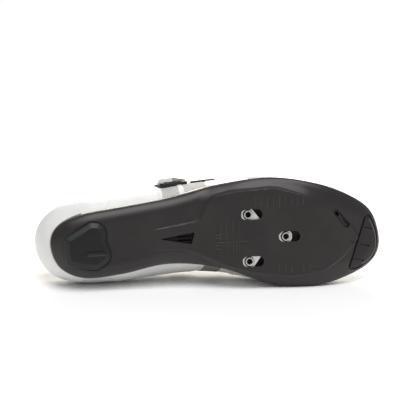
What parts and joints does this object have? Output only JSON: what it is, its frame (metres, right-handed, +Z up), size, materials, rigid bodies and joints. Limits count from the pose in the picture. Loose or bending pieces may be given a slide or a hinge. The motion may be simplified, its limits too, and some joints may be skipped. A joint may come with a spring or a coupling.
{
  "type": "cycling shoe",
  "caption": "Right road cycling shoe lying on its medial side: white hollow upper with a buckle, and a stiff dark sole with a slotted cleat seat, heel pad and toe bumper.",
  "frame": {"origin": "under the middle of the bounding box, on the floor the shoe lies on", "axes": "+X from heel to toe, -Y the way the sole faces, +Z up: the shoe lies on its medial side"},
  "size_m": [0.289, 0.103, 0.0897],
  "materials": {
    "outsole": "satin moulded composite",
    "heel_pad": "matt",
    "toe_bumper": "matt",
    "toe_vent": "matt",
    "arch_vent": "matt",
    "cleat_plate": "zinc plated",
    "insole": "foam with a cloth face",
    "upper": "white coated microfibre",
    "heel_counter": "satin",
    "tongue": "padded mesh",
    "instep_strap": "white coated microfibre",
    "forefoot_strap": "white coated microfibre",
    "buckle_base": "satin",
    "buckle_cap": "satin",
    "buckle_lever": "satin",
    "strap_anchor": "satin"
  },
  "bodies": {
    "shoe": {"outsole": "outsole", "heel_pad": "heel_pad", "toe_bumper": "toe_bumper", "toe_vent": "toe_vent", "arch_vent": "arch_vent", "insole": "insole", "upper": "upper", "heel_counter": "heel_counter", "tongue": "tongue", "instep_strap": "instep_strap", "forefoot_strap": "forefoot_strap", "buckle_base": "buckle_base", "buckle_cap": "buckle_cap", "buckle_lever": "buckle_lever", "strap_anchor": "strap_anchor"},
    "plate": {"cleat_plate": "cleat_plate"}
  },
  "joints": [
    {"name": "cleat_slide", "type": "slide", "parent": "shoe", "child": "plate", "axis": [0.9996, 0, 0.0271], "range_m": [-0.0021, 0.0073]}
  ]
}
